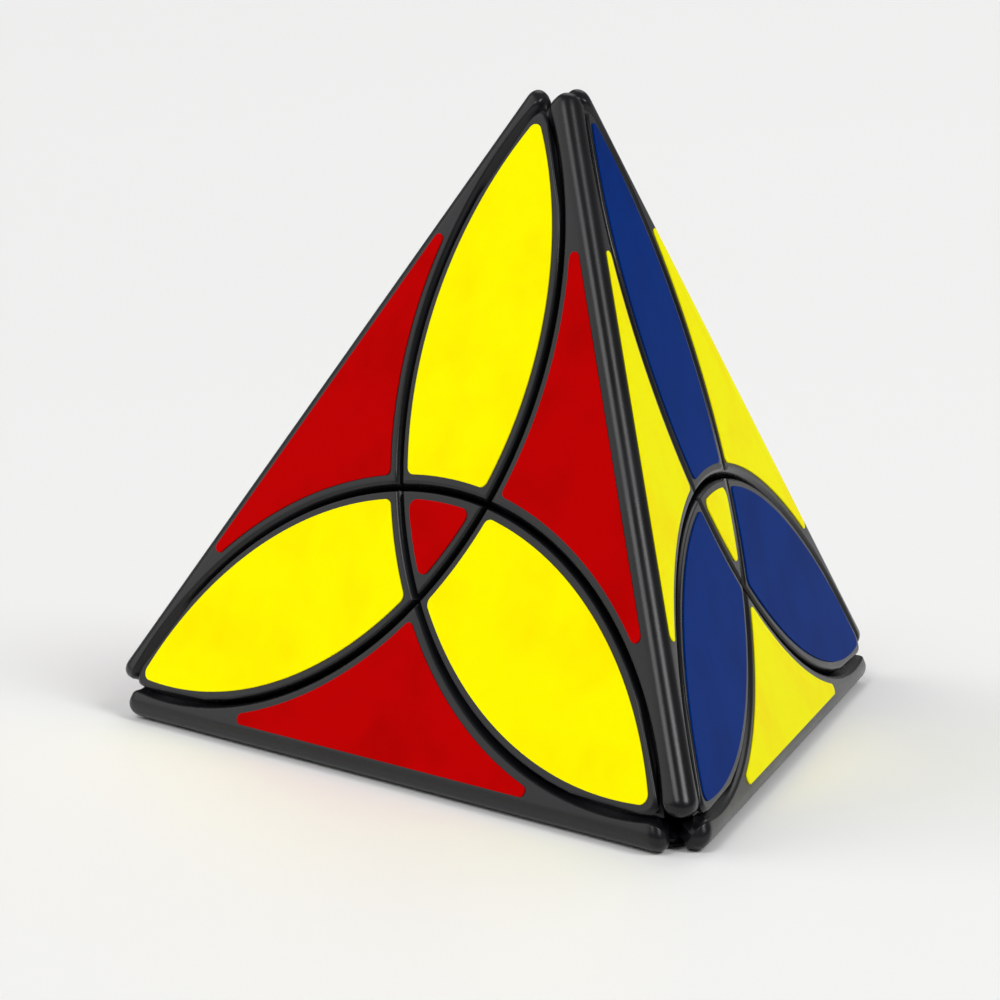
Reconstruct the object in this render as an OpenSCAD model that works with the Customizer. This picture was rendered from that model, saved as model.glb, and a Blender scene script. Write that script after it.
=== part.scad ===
// Pyramid twisty puzzle with curved cuts: a tetrahedron whose six edges turn.
//
// The design is drawn in a cube frame with the centre of the puzzle at its origin. The six
// turning axes are +-X, +-Y and +-Z of that frame, and each passes through the middle of one
// edge of the tetrahedron. A ball centred far out on each axis is the cut: all that lies
// inside the ball turns together. rest_on_face() then stands the whole on its bottom face.
//
// Corners are called top, west (front left), east (front right) and north (back).
// Faces are called front, right, left and bottom. An edge is named after its two corners,
// a petal after its face and the corner that it points to.

/* [Overall] */
// Length of a sharp edge of the tetrahedron
edge_length = 112; // [94:1:135]
// Radius of the rounded spine along each edge
spine_radius = 2.1; // [1.5:0.1:2.6]

/* [Cuts] */
// Distance along an edge from its sharp corner to the end of the edge piece
corner_setback = 6.4; // [5:0.2:8]
// Distance from the centre at which a cut crosses its own turning axis
cut_reach = 4.4; // [3.7:0.1:5.3]
// Gap between the pieces on the two sides of a cut
cut_gap = 0.4; // [0.3:0.02:0.5]

/* [Shells] */
// Wall of the hollow outer shells
shell_wall = 1.6; // [1.3:0.1:1.95]
// Height of the neck between a foot and the shell glued to it
neck_height = 2.5; // [1.5:0.1:3]
// Height of an edge base, from the feet to the cap glued to it
base_height = 5; // [3.5:0.1:6.5]
// Height of the spigot that locates a shell on the part below it
spigot_height = 1.8; // [1.4:0.1:2.2]
// Clearance around a spigot
spigot_clearance = 0.1; // [0.06:0.02:0.14]
// Thickness of the glue line in a shell joint
glue_line = 0.05; // [0.03:0.01:0.06]

/* [Track] */
// Radius of the round track that the feet run on
track_inner = 11; // [9.2:0.1:11.6]
// Thickness of the feet
foot_thickness = 5; // [4:0.1:5.5]
// How far a foot reaches under its neighbours
foot_reach = 1.8; // [1.5:0.1:2.1]

/* [Core] */
// Clearance between the core and the pieces that run on it
core_clearance = 0.3; // [0.2:0.05:0.4]
// Solid nylon between the centre and the bottom of each screw hole
screw_hole_bottom = 4.2; // [3.6:0.1:5]
// Radius of the core's hub
hub_radius = 6.5; // [5.5:0.1:8]
// Radius of the core's six arms
arm_radius = 3.6; // [3:0.1:4]

/* [Screws and springs] */
// Radius of a screw's shank
screw_radius = 1.5; // [1.2:0.1:1.8]
// How deep the thread bites into the core
thread_bite = 0.1; // [0.06:0.01:0.14]
// Clearance between a screw and the edge base that turns on it
screw_clearance = 0.3; // [0.2:0.05:0.35]
// Radius of a screw's head
screw_head_radius = 2.8; // [2.4:0.1:3]
// Height of a screw's head
screw_head_height = 2.2; // [1.8:0.1:2.6]
// Thickness of the floor that a spring stands on
floor_thickness = 1.4; // [1:0.1:2]
// Length of a fitted spring
spring_length = 6.6; // [5.5:0.1:7.5]
// Radius of a spring, to the middle of its wire
spring_radius = 2.5; // [2.3:0.1:2.8]
// Radius of the spring wire
wire_radius = 0.35; // [0.25:0.05:0.45]
// Clearance around a spring in its cup
spring_clearance = 0.6; // [0.4:0.1:0.8]
// Thickness of the washer between a spring and its screw head
washer_thickness = 0.6; // [0.4:0.1:0.8]
// Axial play at each end of a spring and a washer
axial_play = 0.05; // [0.03:0.01:0.08]

/* [Stickers] */
// Thickness of a sticker
sticker_thickness = 0.15; // [0.1:0.01:0.2]
// Distance from the middle of a cut to the rim of a sticker
sticker_inset = 1.55; // [1.3:0.05:1.9]
// Flat plastic left between a spine and a sticker
sticker_spine_margin = 0.1; // [0.05:0.05:0.5]
// Radius of a sticker's corners
sticker_corner = 1.1; // [0.8:0.1:1.3]

/* [Hidden] */
$fn = 128;
// Facets of the large cut balls and of the arcs that they leave on a face
cut_facets = 256;
half_gap = cut_gap / 2;
// Distances from the centre, all counted from the track
track_outer = track_inner + foot_thickness;
foot_joint = track_outer + neck_height;
cap_joint = track_outer + base_height;
spring_floor = track_outer + floor_thickness;
// Distances from the centre to a sharp edge and to a face
edge_distance = edge_length / (2 * sqrt(2));
face_distance = edge_distance / sqrt(3);
// The cut ball passes through the end of its own edge and crosses its axis at cut_reach
edge_end = edge_distance - corner_setback / sqrt(2);
ball_distance =
    (edge_distance ^ 2 + 2 * edge_end ^ 2 - cut_reach ^ 2) / (2 * (edge_distance - cut_reach));
ball_radius = ball_distance - cut_reach;
// The circle that the ball cuts into a face, and the face's own inner radius
arc_radius = sqrt(ball_radius ^ 2 - (ball_distance / sqrt(3) - face_distance) ^ 2);
arc_distance = ball_distance * sqrt(2 / 3);
// Longest hollow of an edge cap, between the points where X = Y = ball_distance / 2
hollow_length = ball_distance * sqrt(2);
face_inradius = edge_length / (2 * sqrt(3));
// Angle of a face's normal above the line across a spine
spine_angle = atan(1 / sqrt(2));
spine_steps = 10;
face_tilt = 90 + spine_angle;
// The rim of an arm's flat end stays clear of the edge base that turns on it
arm_reach = sqrt((track_inner - core_clearance) ^ 2 - arm_radius ^ 2);
// How far a neck starts inside the foot below it, and a hair between faces that would coincide
neck_start = 1;
blend = 0.03;
cup_radius = spring_radius + wire_radius + spring_clearance;
washer_bottom = spring_floor + spring_length + 2 * axial_play;
head_bottom = washer_bottom + washer_thickness + axial_play;
washer_radius = spring_radius + wire_radius + 0.2;
spring_turns = 5;
spring_steps = 16;
wire_sides = 6;
far = 2 * edge_length;

PLASTIC = "#141416";
NYLON = "#d9d7cf";
STEEL = "#b9bcc2";
RED = "#be0000";
YELLOW = "#ffff00";
BLUE = "#002d78";
GREEN = "#00803c";

// Each piece is a turned copy of the one drawn: [name, thirds of a turn about the top corner
// line, half-turn axis, colour]. The drawn edge is top_north, the drawn petal, centre and
// edge sticker lie on the front face.
STAY = [0, 0, 0];
HALF_X = [1, 0, 0];
HALF_Y = [0, 1, 0];
HALF_Z = [0, 0, 1];
EDGES = [
    ["top_north", 0, STAY],
    ["top_west", 1, STAY],
    ["top_east", 2, STAY],
    ["west_east", 0, HALF_X],
    ["east_north", 1, HALF_Y],
    ["west_north", 2, HALF_Z]
];
PETALS = [
    ["front_top", 0, STAY, YELLOW],
    ["right_top", 1, STAY, BLUE],
    ["left_top", 2, STAY, RED],
    ["left_west", 0, HALF_X, RED],
    ["bottom_west", 1, HALF_X, GREEN],
    ["front_west", 2, HALF_X, YELLOW],
    ["right_east", 0, HALF_Y, BLUE],
    ["front_east", 1, HALF_Y, YELLOW],
    ["bottom_east", 2, HALF_Y, GREEN],
    ["bottom_north", 0, HALF_Z, GREEN],
    ["left_north", 1, HALF_Z, RED],
    ["right_north", 2, HALF_Z, BLUE]
];
CENTRES = [
    ["front", 0, STAY, RED],
    ["left", 0, HALF_X, BLUE],
    ["right", 0, HALF_Y, YELLOW],
    ["bottom", 0, HALF_Z, GREEN]
];
FACETS = [
    ["front_west_east", 0, STAY, RED],
    ["right_east_north", 1, STAY, YELLOW],
    ["left_west_north", 2, STAY, BLUE],
    ["left_top_north", 0, HALF_X, BLUE],
    ["bottom_east_north", 1, HALF_X, GREEN],
    ["front_top_east", 2, HALF_X, RED],
    ["right_top_north", 0, HALF_Y, YELLOW],
    ["front_top_west", 1, HALF_Y, RED],
    ["bottom_west_north", 2, HALF_Y, GREEN],
    ["bottom_west_east", 0, HALF_Z, GREEN],
    ["left_top_west", 1, HALF_Z, BLUE],
    ["right_top_east", 2, HALF_Z, YELLOW]
];

// Stands the puzzle on its bottom face, with the bottom stickers on Z = 0
module rest_on_face() {
    translate([0, 0, face_distance + sticker_thickness])
        rotate([0, 0, -90])
            rotate([0, -acos(1 / sqrt(3)), 0])
                rotate([0, 0, -45])
                    children();
}

// Turns a drawn piece to its own place in the puzzle
module in_place(row) {
    rest_on_face()
        rotate(a = row[2] == STAY ? 0 : 180, v = row[2] == STAY ? HALF_Z : row[2])
            rotate(a = 120 * row[1], v = [1, 1, 1])
                children();
}

// Puts what is drawn flat, with +Y towards the top corner, onto the front face
module on_front_face() {
    rotate([0, 0, 135])
        rotate([face_tilt, 0, 0])
            translate([0, 0, face_distance])
                children();
}

module round_ball(radius) {
    sphere(r = radius);
}

// The cut ball of a turning axis, grown by some amount
module cut_ball(axis, growth) {
    translate(axis * ball_distance)
        sphere(r = ball_radius + growth, $fn = cut_facets);
}

// All that lies under the front face, lowered by some depth
module under_front_face(depth) {
    on_front_face()
        translate([-far / 2, -far / 2, -far - depth])
            cube(far);
}

// ---- petals: inside the X and Y cuts, outside both Z cuts ----

// Its walls are set in by inset, or moved out along the track by reach
module petal_body(inset, reach = 0) {
    difference() {
        intersection() {
            under_front_face(inset);
            cut_ball([1, 0, 0], reach - half_gap - inset);
            cut_ball([0, 1, 0], reach - half_gap - inset);
        }
        cut_ball([0, 0, 1], reach + half_gap + inset);
        cut_ball([0, 0, -1], reach + half_gap + inset);
    }
}

module petal_shell() {
    difference() {
        petal_body(0);
        petal_body(shell_wall);
        round_ball(foot_joint + glue_line);
    }
}

module petal_foot() {
    // The foot, under the edges and beside the feet of the centres
    difference() {
        intersection() {
            round_ball(track_outer - half_gap);
            petal_body(0, foot_reach + blend);
        }
        round_ball(track_inner);
    }
    // The neck, up to the joint with the shell
    difference() {
        intersection() {
            round_ball(foot_joint);
            petal_body(0);
        }
        intersection() {
            round_ball(track_outer + half_gap);
            union() {
                cut_ball([0, 0, 1], half_gap + foot_reach);
                cut_ball([0, 0, -1], half_gap + foot_reach);
            }
        }
        round_ball(track_inner + neck_start);
    }
    // The spigot inside the shell
    difference() {
        intersection() {
            round_ball(foot_joint + spigot_height);
            petal_body(shell_wall + spigot_clearance);
        }
        round_ball(foot_joint - neck_start);
    }
}

// ---- centres: inside the X, Y and -Z cuts ----

module centre_body(inset, reach = 0) {
    intersection() {
        under_front_face(inset);
        cut_ball([1, 0, 0], reach - half_gap - inset);
        cut_ball([0, 1, 0], reach - half_gap - inset);
        cut_ball([0, 0, -1], reach - half_gap - inset);
    }
}

module centre_shell() {
    difference() {
        centre_body(0);
        centre_body(shell_wall);
        round_ball(foot_joint + glue_line);
    }
}

module centre_foot() {
    difference() {
        intersection() {
            round_ball(track_outer - half_gap);
            centre_body(0, foot_reach);
        }
        round_ball(track_inner);
    }
    difference() {
        intersection() {
            round_ball(foot_joint);
            centre_body(0);
        }
        round_ball(track_inner + neck_start);
    }
    difference() {
        intersection() {
            round_ball(foot_joint + spigot_height);
            centre_body(shell_wall + spigot_clearance);
        }
        round_ball(foot_joint - neck_start);
    }
}

// ---- edges: inside the Z cut, outside the X and Y cuts ----

// Section across the edge: two faces that meet in a rounded spine
function spine_section(round, rise) = [
    for (i = [0 : spine_steps])
        let (a = spine_angle + (180 - 2 * spine_angle) * i / spine_steps)
            [round * cos(a), rise + round * sin(a)]
];

module under_spine(depth) {
    round = max(spine_radius - depth, 0.2);
    rise = (face_distance - depth - round) * sqrt(3);
    foot = (face_distance - depth) * sqrt(3 / 2);
    rotate([0, 0, -45])
        rotate([90, 0, 0])
            linear_extrude(height = far, center = true)
                polygon(concat(spine_section(round, rise), [[-foot, 0], [foot, 0]]));
}

module edge_body(inset) {
    difference() {
        intersection() {
            under_spine(inset);
            cut_ball([0, 0, 1], -half_gap - inset);
        }
        for (side = [-1, 1]) {
            cut_ball([side, 0, 0], half_gap + inset);
            cut_ball([0, side, 0], half_gap + inset);
        }
    }
}

// The tips are solid: the hollow ends where the neighbouring cuts come nearest to the spine
module edge_hollow() {
    intersection() {
        edge_body(shell_wall);
        rotate([0, 0, 45])
            cube([hollow_length, far, far], center = true);
    }
}

module edge_cap() {
    difference() {
        edge_body(0);
        edge_hollow();
        round_ball(cap_joint + glue_line);
    }
}

module edge_base() {
    difference() {
        union() {
            intersection() {
                round_ball(cap_joint);
                edge_body(0);
            }
            intersection() {
                round_ball(cap_joint + spigot_height);
                edge_body(shell_wall + spigot_clearance);
            }
        }
        intersection() {
            round_ball(track_outer + half_gap);
            union() {
                for (side = [-1, 1]) {
                    cut_ball([side, 0, 0], half_gap + foot_reach);
                    cut_ball([0, side, 0], half_gap + foot_reach);
                }
            }
        }
        round_ball(track_inner);
        cylinder(r = screw_radius + screw_clearance, h = far);
        translate([0, 0, spring_floor])
            cylinder(r = cup_radius, h = far);
    }
}

// ---- core, screws, springs and washers ----

module core() {
    color(NYLON)
        rest_on_face()
            difference() {
                union() {
                    round_ball(hub_radius);
                    for (third = [0 : 2])
                        rotate(a = 120 * third, v = [1, 1, 1])
                            cylinder(r = arm_radius, h = 2 * arm_reach, center = true);
                }
                for (third = [0 : 2], flip = [0, 180])
                    rotate(a = 120 * third, v = [1, 1, 1])
                        rotate([flip, 0, 0])
                            translate([0, 0, screw_hole_bottom])
                                cylinder(r = screw_radius - thread_bite, h = far);
            }
}

module screw() {
    recess_width = 0.9;
    recess_length = screw_head_radius * 1.1;
    recess_floor = head_bottom + screw_head_height / 2;
    difference() {
        union() {
            translate([0, 0, screw_hole_bottom + axial_play])
                cylinder(r = screw_radius, h = head_bottom - screw_hole_bottom);
            translate([0, 0, head_bottom])
                cylinder(r = screw_head_radius, h = screw_head_height);
        }
        for (turn = [0, 90])
            rotate([0, 0, turn])
                translate([-recess_length / 2, -recess_width / 2, recess_floor])
                    cube([recess_length, recess_width, far]);
    }
}

module screws() {
    color(STEEL)
        for (row = EDGES)
            in_place(row)
                screw();
}

module washers() {
    color(STEEL)
        for (row = EDGES)
            in_place(row)
                translate([0, 0, washer_bottom])
                    difference() {
                        cylinder(r = washer_radius, h = washer_thickness);
                        translate([0, 0, -1])
                            cylinder(r = screw_radius + screw_clearance, h = washer_thickness + 2);
                    }
}

// A helix of wire: a ring of points at each step, joined to the next ring
module spring() {
    rings = spring_turns * spring_steps;
    low = spring_floor + axial_play + wire_radius;
    rise = spring_length - 2 * wire_radius;
    points = [
        for (i = [0 : rings], j = [0 : wire_sides - 1])
            let (
                turn = 360 * i / spring_steps,
                across = 360 * j / wire_sides,
                out = spring_radius + wire_radius * cos(across)
            )
                [out * cos(turn), out * sin(turn), low + rise * i / rings + wire_radius * sin(across)]
    ];
    walls = [
        for (i = [0 : rings - 1], j = [0 : wire_sides - 1])
            let (
                next = (j + 1) % wire_sides,
                a = i * wire_sides,
                b = (i + 1) * wire_sides
            )
                each [[a + j, b + next, a + next], [a + j, b + j, b + next]]
    ];
    start = [for (j = [0 : wire_sides - 1]) j];
    finish = [for (j = [wire_sides - 1 : -1 : 0]) rings * wire_sides + j];
    polyhedron(points = points, faces = concat(walls, [start, finish]));
}

module springs() {
    color(STEEL)
        for (row = EDGES)
            in_place(row)
                spring();
}

// ---- stickers, drawn flat with +Y towards the top corner ----

// Centre of the arc of an edge, at some angle from +Y
function arc_centre(angle) = arc_distance * [sin(angle), cos(angle)];

module arc_disc(angle, growth) {
    translate(arc_centre(angle))
        circle(r = arc_radius + growth, $fn = cut_facets);
}

module sticker() {
    on_front_face()
        linear_extrude(height = sticker_thickness)
            offset(r = sticker_corner, $fn = 32)
                offset(delta = -sticker_corner)
                    children();
}

module petal_sticker() {
    sticker()
        difference() {
            intersection() {
                arc_disc(60, -sticker_inset);
                arc_disc(-60, -sticker_inset);
            }
            arc_disc(180, sticker_inset);
        }
}

module centre_sticker() {
    sticker()
        intersection_for (angle = [60, -60, 180])
            arc_disc(angle, -sticker_inset);
}

module facet_sticker() {
    rim = face_inradius - spine_radius * sqrt(2) - sticker_spine_margin;
    sticker()
        difference() {
            translate([-edge_length / 2, -rim])
                square([edge_length, rim]);
            arc_disc(60, sticker_inset);
            arc_disc(-60, sticker_inset);
        }
}

// ---- the nodes ----

core();
screws();
springs();
washers();

for (row = EDGES) {
    color(PLASTIC) in_place(row) edge_base();
    color(PLASTIC) in_place(row) edge_cap();
}

for (row = PETALS) {
    color(PLASTIC) in_place(row) {
            petal_shell();
            petal_foot();
        }
    color(row[3]) in_place(row) petal_sticker();
}

for (row = CENTRES) {
    color(PLASTIC) in_place(row) {
            centre_shell();
            centre_foot();
        }
    color(row[3]) in_place(row) centre_sticker();
}

for (row = FACETS)
    color(row[3]) in_place(row) facet_sticker();
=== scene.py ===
"""Looks of the pyramid twisty puzzle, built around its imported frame.

The puzzle is a tetrahedron whose six edges turn. Every piece is drawn once in a cube frame
with the puzzle's centre at its origin, where the six turning axes are +-X, +-Y and +-Z, and
is then turned to its places. A ball centred far out on each axis is the cut of that axis.
"""

import logging
import math
from dataclasses import dataclass, field, replace
from enum import Enum

import bmesh
import bpy
import numpy as np
from mathutils import Matrix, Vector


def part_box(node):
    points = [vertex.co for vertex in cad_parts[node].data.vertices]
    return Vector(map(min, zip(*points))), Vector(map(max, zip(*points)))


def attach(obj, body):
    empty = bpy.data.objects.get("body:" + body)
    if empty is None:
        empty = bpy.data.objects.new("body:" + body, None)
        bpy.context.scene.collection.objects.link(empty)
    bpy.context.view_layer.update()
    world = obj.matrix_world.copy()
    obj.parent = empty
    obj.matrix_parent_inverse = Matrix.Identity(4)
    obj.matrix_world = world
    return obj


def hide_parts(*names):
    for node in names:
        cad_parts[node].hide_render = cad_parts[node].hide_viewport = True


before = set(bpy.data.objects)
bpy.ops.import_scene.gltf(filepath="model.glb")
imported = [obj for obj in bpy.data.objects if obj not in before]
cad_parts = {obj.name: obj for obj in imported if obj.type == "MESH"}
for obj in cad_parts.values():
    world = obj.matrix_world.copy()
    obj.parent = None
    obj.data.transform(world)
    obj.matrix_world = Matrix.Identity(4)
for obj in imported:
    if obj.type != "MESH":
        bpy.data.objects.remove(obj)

LOG = logging.getLogger("puzzle")
MM = 0.001
WELD_DISTANCE = 3e-6
CREASE_ANGLE = math.radians(32)


# ---------------------------------------------------------------- sizes


@dataclass(frozen=True)
class Cuts:
    """The driving sizes of the puzzle and the balls that cut it, in millimetres."""

    edge_length: float = 112.0
    spine_radius: float = 2.1
    corner_setback: float = 6.4
    cut_reach: float = 4.4
    cut_gap: float = 0.4

    @property
    def edge_distance(self) -> float:
        """Distance from the centre to a sharp edge of the tetrahedron."""
        return self.edge_length / (2 * math.sqrt(2))

    @property
    def face_distance(self) -> float:
        """Distance from the centre to a face."""
        return self.edge_distance / math.sqrt(3)

    @property
    def ball_distance(self) -> float:
        """Distance from the centre to the middle of a cut ball.

        The ball passes through the end of its own edge, at (t, t, c), and through the point
        of its axis at the cut reach r, so it is (c^2 + 2 t^2 - r^2) / (2 (c - r)).
        """
        c = self.edge_distance
        end = c - self.corner_setback / math.sqrt(2)
        return (c**2 + 2 * end**2 - self.cut_reach**2) / (2 * (c - self.cut_reach))

    @property
    def ball_radius(self) -> float:
        """Radius of a cut ball, to the middle of the gap."""
        return self.ball_distance - self.cut_reach

    def inner_radius(self, inset: float | np.ndarray) -> float | np.ndarray:
        """Radius of the wall of a piece inside a ball, set in by inset."""
        return self.ball_radius - self.cut_gap / 2 - inset

    def outer_radius(self, inset: float | np.ndarray) -> float | np.ndarray:
        """Radius of the wall of a piece outside a ball, set in by inset."""
        return self.ball_radius + self.cut_gap / 2 + inset

    def cosine(self, radius: np.ndarray, ball: float | np.ndarray) -> np.ndarray:
        """Where a sphere about the centre meets a cut ball.

        Args:
            radius: Radii r of the spheres about the centre.
            ball: Radius b of the cut ball.

        Returns:
            The cosine, seen from the centre, between the ball's axis and the circle in
            which the two meet: (r^2 + D^2 - b^2) / (2 r D), D being the ball's distance.
        """
        d = self.ball_distance
        return (radius**2 + d**2 - ball**2) / (2 * radius * d)


@dataclass(frozen=True)
class Fits:
    """Walls, joints and clearances of the moulded pieces, in millimetres."""

    shell_wall: float = 1.6
    foot_joint: float = 18.5
    cap_joint: float = 21.0
    spigot_height: float = 1.8
    spigot_clearance: float = 0.1
    glue_line: float = 0.05
    track_inner: float = 11.0
    track_outer: float = 16.0
    foot_reach: float = 1.8
    rim_round: float = 0.58
    rim_drop: float = 1.4

    def rim_steps(self, rows: int) -> list[tuple[float, float]]:
        """Depth and inset along the rounded rim of a shell.

        Args:
            rows: Number of steps.

        Returns:
            For angles a from 0 to a quarter turn, the depth drop (1 - cos a) and the inset
            round (1 - sin a), which is an upright quarter of an ellipse.
        """
        angles = np.linspace(0, math.pi / 2, rows + 1)
        depths = self.rim_drop * (1 - np.cos(angles))
        insets = self.rim_round * (1 - np.sin(angles))
        return list(zip(depths.tolist(), insets.tolist()))


# ---------------------------------------------------------------- places


class HalfTurn(Enum):
    """Half turn that carries a drawn piece towards its own corner of the cube frame."""

    NONE = (1, 1, 1)
    X = (1, -1, -1)
    Y = (-1, 1, -1)
    Z = (-1, -1, 1)


class Colour(Enum):
    """Colours of the stickers."""

    RED = "red"
    YELLOW = "yellow"
    BLUE = "blue"
    GREEN = "green"


def rotation(angle: float, axis: int) -> np.ndarray:
    """A turn by angle, in degrees, about a coordinate axis, as a 3 by 3 matrix."""
    c, s = math.cos(math.radians(angle)), math.sin(math.radians(angle))
    i, j = (axis + 1) % 3, (axis + 2) % 3
    made = np.eye(3)
    made[i, i], made[i, j], made[j, i], made[j, j] = c, -s, s, c
    return made


@dataclass(frozen=True)
class Place:
    """Place of a piece: a name, thirds of a turn about the top corner, and a half turn."""

    name: str
    thirds: int
    half: HalfTurn
    colour: Colour = Colour.RED

    def matrix(self) -> np.ndarray:
        """The turn from the drawn piece to its place, with the puzzle on its bottom face.

        Returns:
            A 3 by 3 matrix: first the thirds about (1, 1, 1), then the half turn, then the
            turn that puts the line to the top corner upright.
        """
        third = np.array([[0, 0, 1], [1, 0, 0], [0, 1, 0]], float)
        tilt = math.degrees(math.acos(1 / math.sqrt(3)))
        upright = rotation(-90, 2) @ rotation(-tilt, 1) @ rotation(-45, 2)
        return (
            upright
            @ np.diag(self.half.value)
            @ np.linalg.matrix_power(third, self.thirds)
        )


N, X, Y, Z = HalfTurn.NONE, HalfTurn.X, HalfTurn.Y, HalfTurn.Z
R, W, B, G = Colour.RED, Colour.YELLOW, Colour.BLUE, Colour.GREEN

EDGES = [
    Place("top_north", 0, N),
    Place("top_west", 1, N),
    Place("top_east", 2, N),
    Place("west_east", 0, X),
    Place("east_north", 1, Y),
    Place("west_north", 2, Z),
]
PETALS = [
    Place("front_top", 0, N, W),
    Place("right_top", 1, N, B),
    Place("left_top", 2, N, R),
    Place("left_west", 0, X, R),
    Place("bottom_west", 1, X, G),
    Place("front_west", 2, X, W),
    Place("right_east", 0, Y, B),
    Place("front_east", 1, Y, W),
    Place("bottom_east", 2, Y, G),
    Place("bottom_north", 0, Z, G),
    Place("left_north", 1, Z, R),
    Place("right_north", 2, Z, B),
]
CENTRES = [
    Place("front", 0, N, R),
    Place("left", 0, X, B),
    Place("right", 0, Y, W),
    Place("bottom", 0, Z, G),
]
FACETS = [
    Place("front_west_east", 0, N, R),
    Place("right_east_north", 1, N, W),
    Place("left_west_north", 2, N, B),
    Place("left_top_north", 0, X, B),
    Place("bottom_east_north", 1, X, G),
    Place("front_top_east", 2, X, R),
    Place("right_top_north", 0, Y, W),
    Place("front_top_west", 1, Y, R),
    Place("bottom_west_north", 2, Y, G),
    Place("bottom_west_east", 0, Z, G),
    Place("left_top_west", 1, Z, B),
    Place("right_top_east", 2, Z, W),
]


# ---------------------------------------------------------------- materials


def linear(code: str) -> tuple[float, float, float, float]:
    """An sRGB hex colour as linear red, green, blue and alpha."""
    srgb = np.array([int(code[i : i + 2], 16) for i in (1, 3, 5)]) / 255
    rgb = np.where(srgb <= 0.04045, srgb / 12.92, ((srgb + 0.055) / 1.055) ** 2.4)
    return (*(float(v) for v in rgb), 1.0)


def add_node(
    tree: bpy.types.NodeTree,
    kind: str,
    settings: dict | None = None,
    inputs: dict | None = None,
) -> bpy.types.Node:
    """Adds a node with its settings, values and links.

    Args:
        tree: The node tree that gets the node.
        kind: The node's type, such as "ShaderNodeBump".
        settings: Properties of the node by name.
        inputs: For each input, by name or number, a value or the socket that feeds it.

    Returns:
        The new node.
    """
    node = tree.nodes.new(kind)
    for name, value in (settings or {}).items():
        setattr(node, name, value)
    for name, value in (inputs or {}).items():
        if isinstance(value, bpy.types.NodeSocket):
            tree.links.new(value, node.inputs[name])
        else:
            node.inputs[name].default_value = value
    return node


def fresh_material(
    name: str, shader: dict
) -> tuple[bpy.types.Material, bpy.types.Node, bpy.types.NodeSocket]:
    """Makes a material with one principled shader.

    Args:
        name: The material's name.
        shader: Constant values of the shader's own sockets, by name.

    Returns:
        The material, its principled node and the socket of Object coordinates.
    """
    material = bpy.data.materials.new(name)
    material.use_nodes = True
    tree = material.node_tree
    tree.nodes.clear()
    principled = add_node(tree, "ShaderNodeBsdfPrincipled", inputs=shader)
    add_node(
        tree,
        "ShaderNodeOutputMaterial",
        inputs={"Surface": principled.outputs["BSDF"]},
    )
    place = add_node(tree, "ShaderNodeTexCoord")
    return material, principled, place.outputs["Object"]


def per_metre(size_mm: float) -> float:
    """Scale of a noise whose grains are some millimetres wide, on coordinates in metres."""
    return 1 / (size_mm * MM)


@dataclass(frozen=True)
class MouldedAbs:
    """ABS, injection moulded in a spark-eroded mould: a satin black with a soft sheen.

    The mould leaves a fine, even grain, and flow makes the gloss wander a little from place
    to place, so the highlights are soft and slightly uneven.
    """

    name: str = "black_abs_satin"
    colour: str = "#0c0c0e"
    worn: str = "#15161a"
    roughness: tuple[float, float] = (0.24, 0.32)
    ior: float = 1.54
    # under the usual 0.5, so that wide soft lights don't turn the black to grey
    specular_level: float = 0.26
    # the real grain is about 0.1 mm wide, too fine to show, so it is drawn at 0.3 mm
    grain_mm: float = 0.3
    grain_height_mm: float = 0.004
    grain_strength: float = 0.6
    flow_mm: float = 14.0
    # where on the flow pattern the tint and the gloss begin and end
    tint_span: tuple[float, float] = (0.35, 0.75)
    gloss_span: tuple[float, float] = (0.3, 0.7)

    def build(self) -> bpy.types.Material:
        """Makes the material and returns it."""
        material, shader, place = fresh_material(
            self.name, {"IOR": self.ior, "Specular IOR Level": self.specular_level}
        )
        tree = material.node_tree
        flow = add_node(
            tree,
            "ShaderNodeTexNoise",
            inputs={"Vector": place, "Scale": per_metre(self.flow_mm), "Detail": 3.0},
        ).outputs["Fac"]
        tint = add_node(tree, "ShaderNodeValToRGB", inputs={"Fac": flow})
        tint.color_ramp.elements[0].position = self.tint_span[0]
        tint.color_ramp.elements[0].color = linear(self.colour)
        tint.color_ramp.elements[1].position = self.tint_span[1]
        tint.color_ramp.elements[1].color = linear(self.worn)
        tree.links.new(tint.outputs["Color"], shader.inputs["Base Color"])
        gloss = add_node(
            tree,
            "ShaderNodeMapRange",
            inputs={
                "Value": flow,
                "From Min": self.gloss_span[0],
                "From Max": self.gloss_span[1],
                "To Min": self.roughness[0],
                "To Max": self.roughness[1],
            },
        )
        tree.links.new(gloss.outputs["Result"], shader.inputs["Roughness"])
        grain = add_node(
            tree,
            "ShaderNodeTexNoise",
            inputs={"Vector": place, "Scale": per_metre(self.grain_mm), "Detail": 2.0},
        ).outputs["Fac"]
        bump = add_node(
            tree,
            "ShaderNodeBump",
            inputs={
                "Strength": self.grain_strength,
                "Distance": self.grain_height_mm * MM,
                "Height": grain,
            },
        )
        tree.links.new(bump.outputs["Normal"], shader.inputs["Normal"])
        return material


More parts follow.
